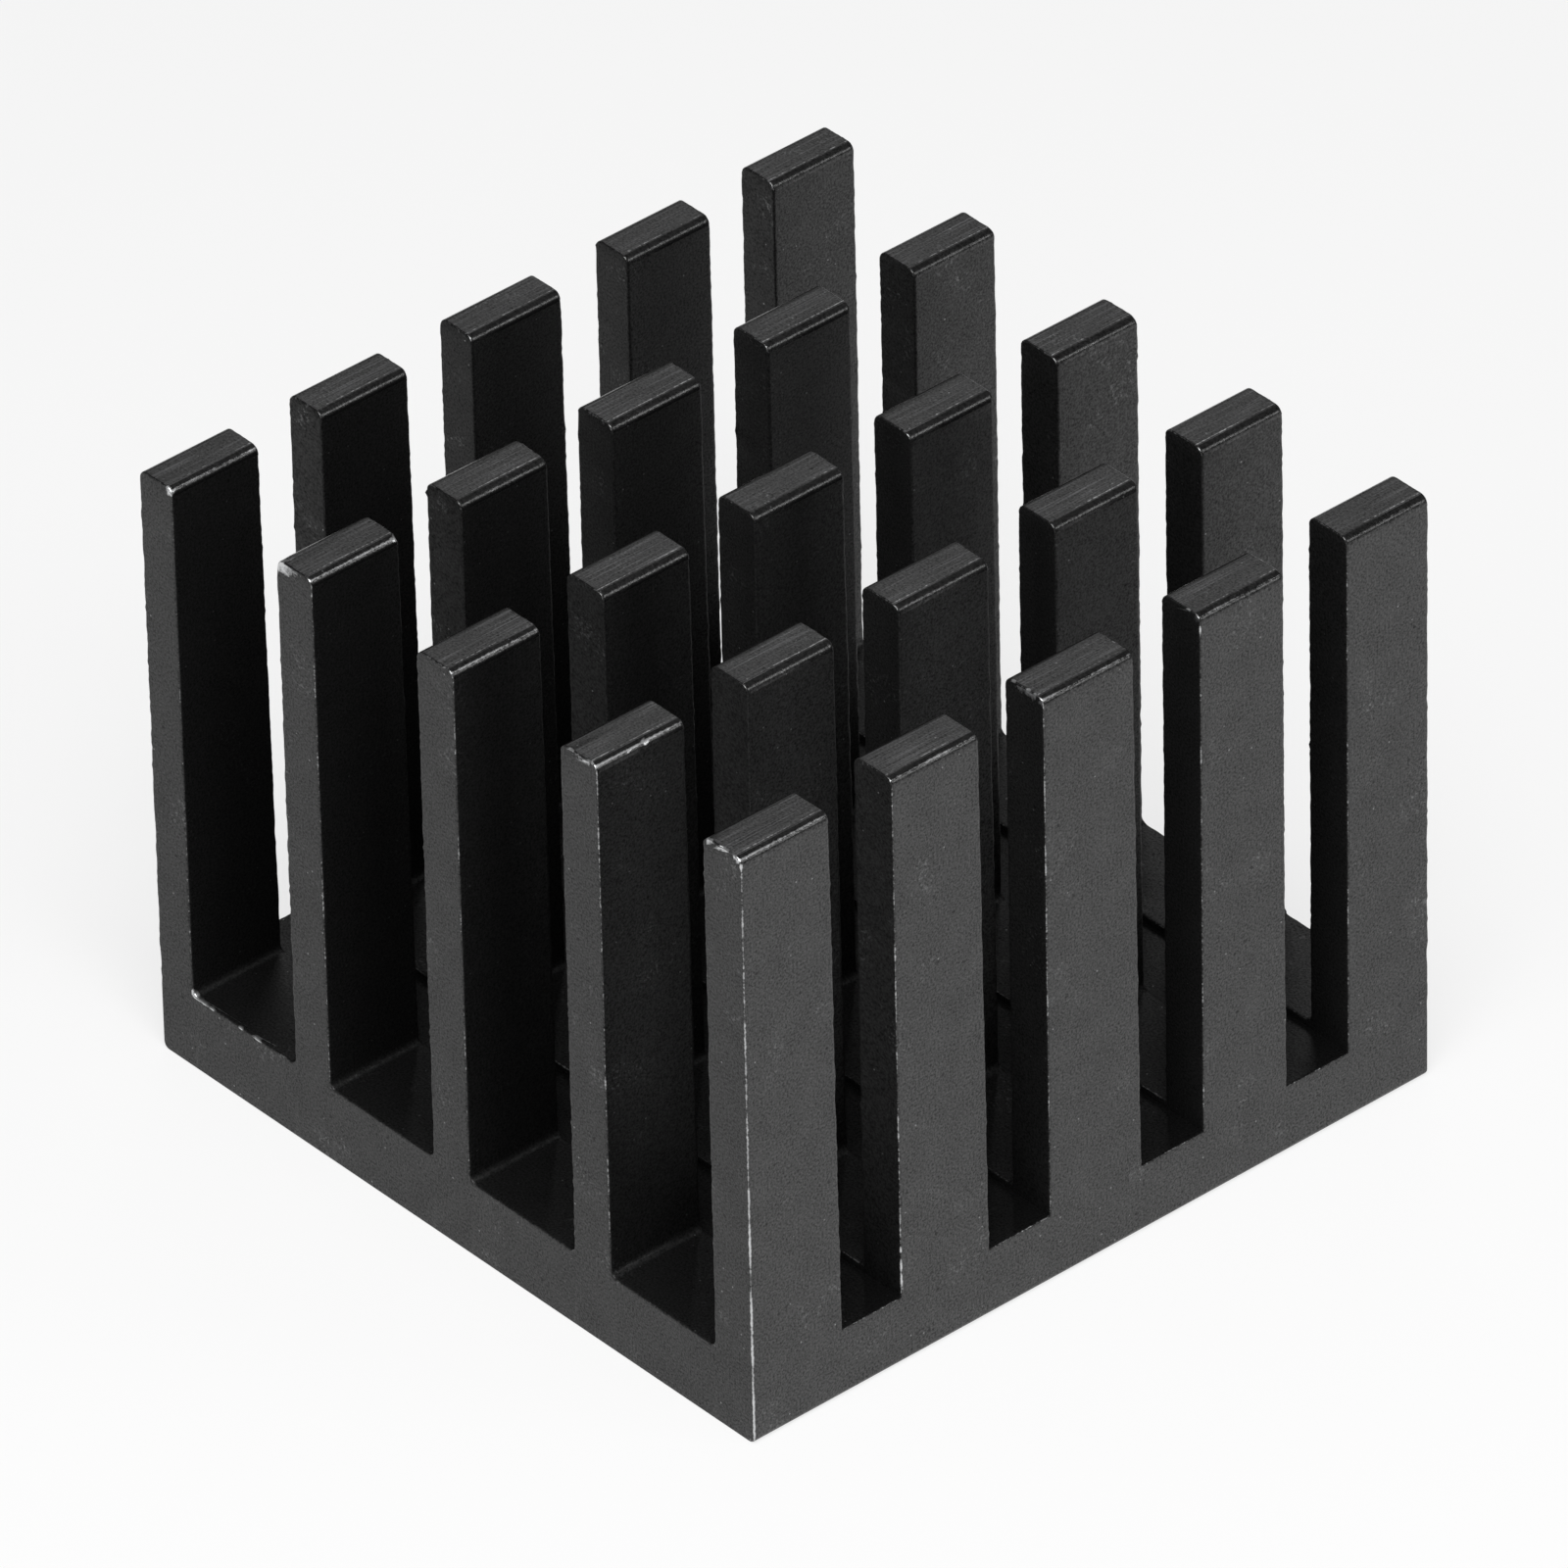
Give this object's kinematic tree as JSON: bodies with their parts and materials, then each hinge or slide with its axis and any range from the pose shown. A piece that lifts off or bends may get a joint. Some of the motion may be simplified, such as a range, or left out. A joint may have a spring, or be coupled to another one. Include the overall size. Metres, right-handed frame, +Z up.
{
  "type": "heat sink",
  "caption": "Square extruded heat sink with flat pins standing on a plain base, black anodised, with a flat underside for bonding or clipping to a chip.",
  "frame": {"origin": "centre of the flat underside", "axes": "+Z up the pins, X across the fins, Y along the extrusion"},
  "size_m": [0.028, 0.028, 0.022],
  "materials": {
    "anodised_aluminium": "black anodised, satin, with bare nicks at the sawn edges"
  },
  "bodies": {
    "root": {"heat_sink": "anodised_aluminium"}
  },
  "joints": []
}
